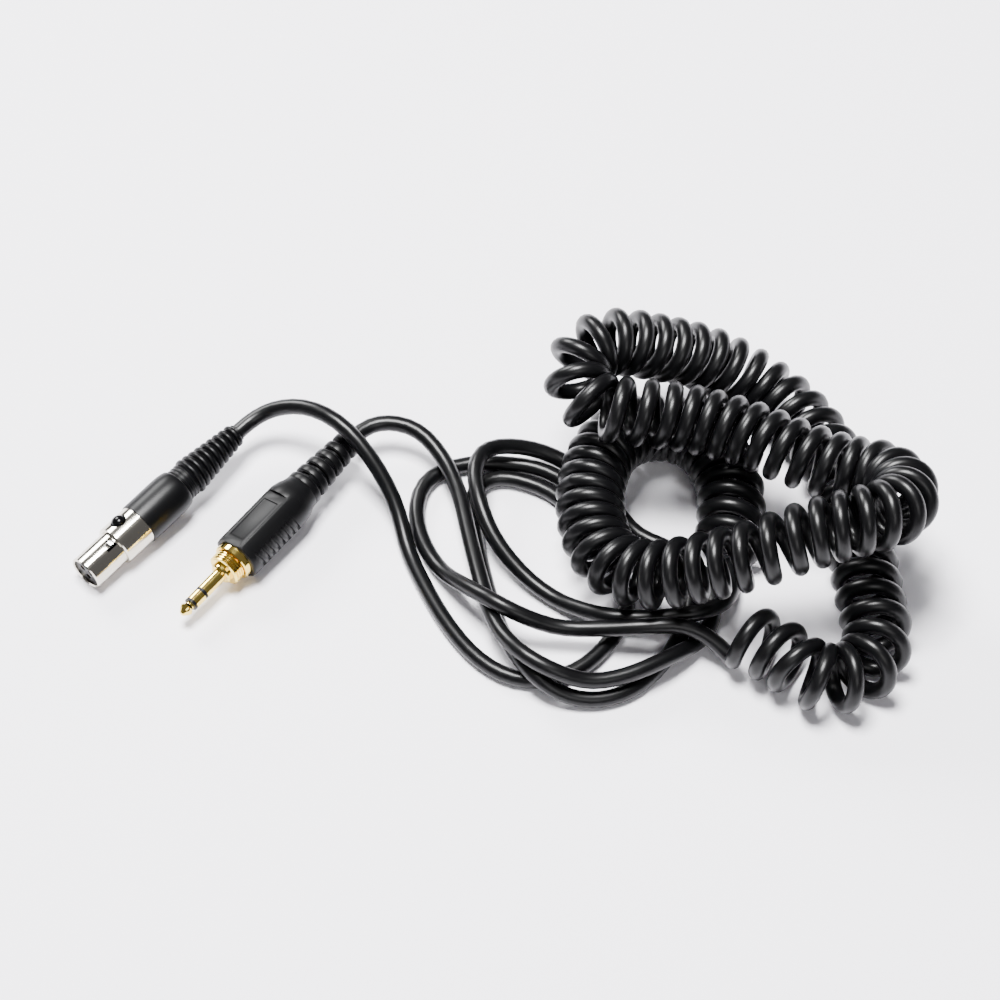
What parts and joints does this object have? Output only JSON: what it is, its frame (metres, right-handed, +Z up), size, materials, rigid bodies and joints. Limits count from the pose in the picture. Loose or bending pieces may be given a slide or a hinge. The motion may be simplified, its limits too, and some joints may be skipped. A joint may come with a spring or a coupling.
{
  "type": "coiled headphone cable",
  "caption": "Black headphone cable with a curly section, a latching mini-XLR socket on one end and a gold 3.5 mm stereo plug with a threaded collar on the other.",
  "frame": {"origin": "middle of the bounding box in plan, on the surface the cable lies on", "axes": "+Z up from that surface; +X along the longest extent, from the two connectors to the heap of curly cord; +Y away from the viewer who sees the connectors on the left"},
  "size_m": [0.2067, 0.106, 0.0444],
  "materials": {
    "nickel_plating": "bright nickel plating",
    "insert_plastic": "moulded black insulator",
    "contact_gold": "gold-plated turned contacts",
    "spring_steel": "spring steel strip and pin",
    "button_plastic": "glossy black moulded button",
    "sleeve_plastic": "satin black moulded sleeve",
    "boot_tpe": "soft moulded strain relief",
    "clamp_brass": "pressed brass",
    "pvc_jacket": "extruded black PVC with a soft gloss",
    "wire_insulation": "coloured conductor insulation",
    "gold_plating": "polished gold plating",
    "insulator_plastic": "black insulating rings",
    "grip_plastic": "moulded black grip with a fine grain",
    "relief_pvc": "slotted moulded strain relief"
  },
  "bodies": {
    "cable": {"xlr_shell": "nickel_plating", "xlr_insert": "insert_plastic", "xlr_contact_1": "contact_gold", "xlr_contact_2": "contact_gold", "xlr_contact_3": "contact_gold", "latch_pin": "spring_steel", "xlr_sleeve": "sleeve_plastic", "xlr_boot": "boot_tpe", "xlr_cable_clamp": "clamp_brass", "xlr_cable_end": "pvc_jacket", "xlr_conductors": "wire_insulation", "jack_tip": "gold_plating", "jack_tip_insulator": "insulator_plastic", "jack_ring": "gold_plating", "jack_ring_insulator": "insulator_plastic", "jack_barrel": "gold_plating", "jack_threaded_collar": "gold_plating", "jack_solder_tags": "clamp_brass", "jack_conductors": "wire_insulation", "jack_inner_shell": "clamp_brass", "jack_grip": "grip_plastic", "jack_relief": "relief_pvc", "jack_cable_clamp": "clamp_brass", "jack_cable_end": "pvc_jacket", "xlr_lead": "pvc_jacket", "curly_cord": "pvc_jacket", "jack_lead": "pvc_jacket"},
    "latch": {"latch_lever": "spring_steel", "latch_button": "button_plastic"}
  },
  "joints": [
    {"name": "latch_hinge", "type": "hinge", "parent": "cable", "child": "latch", "pos_m": [-0.08532, 0.00652, 0.00898], "axis": [0.6808, -0.6396, 0.357], "range_deg": [0, 4], "stiffness_Nm_per_rad": 0.4, "springref_deg": -2.86}
  ]
}
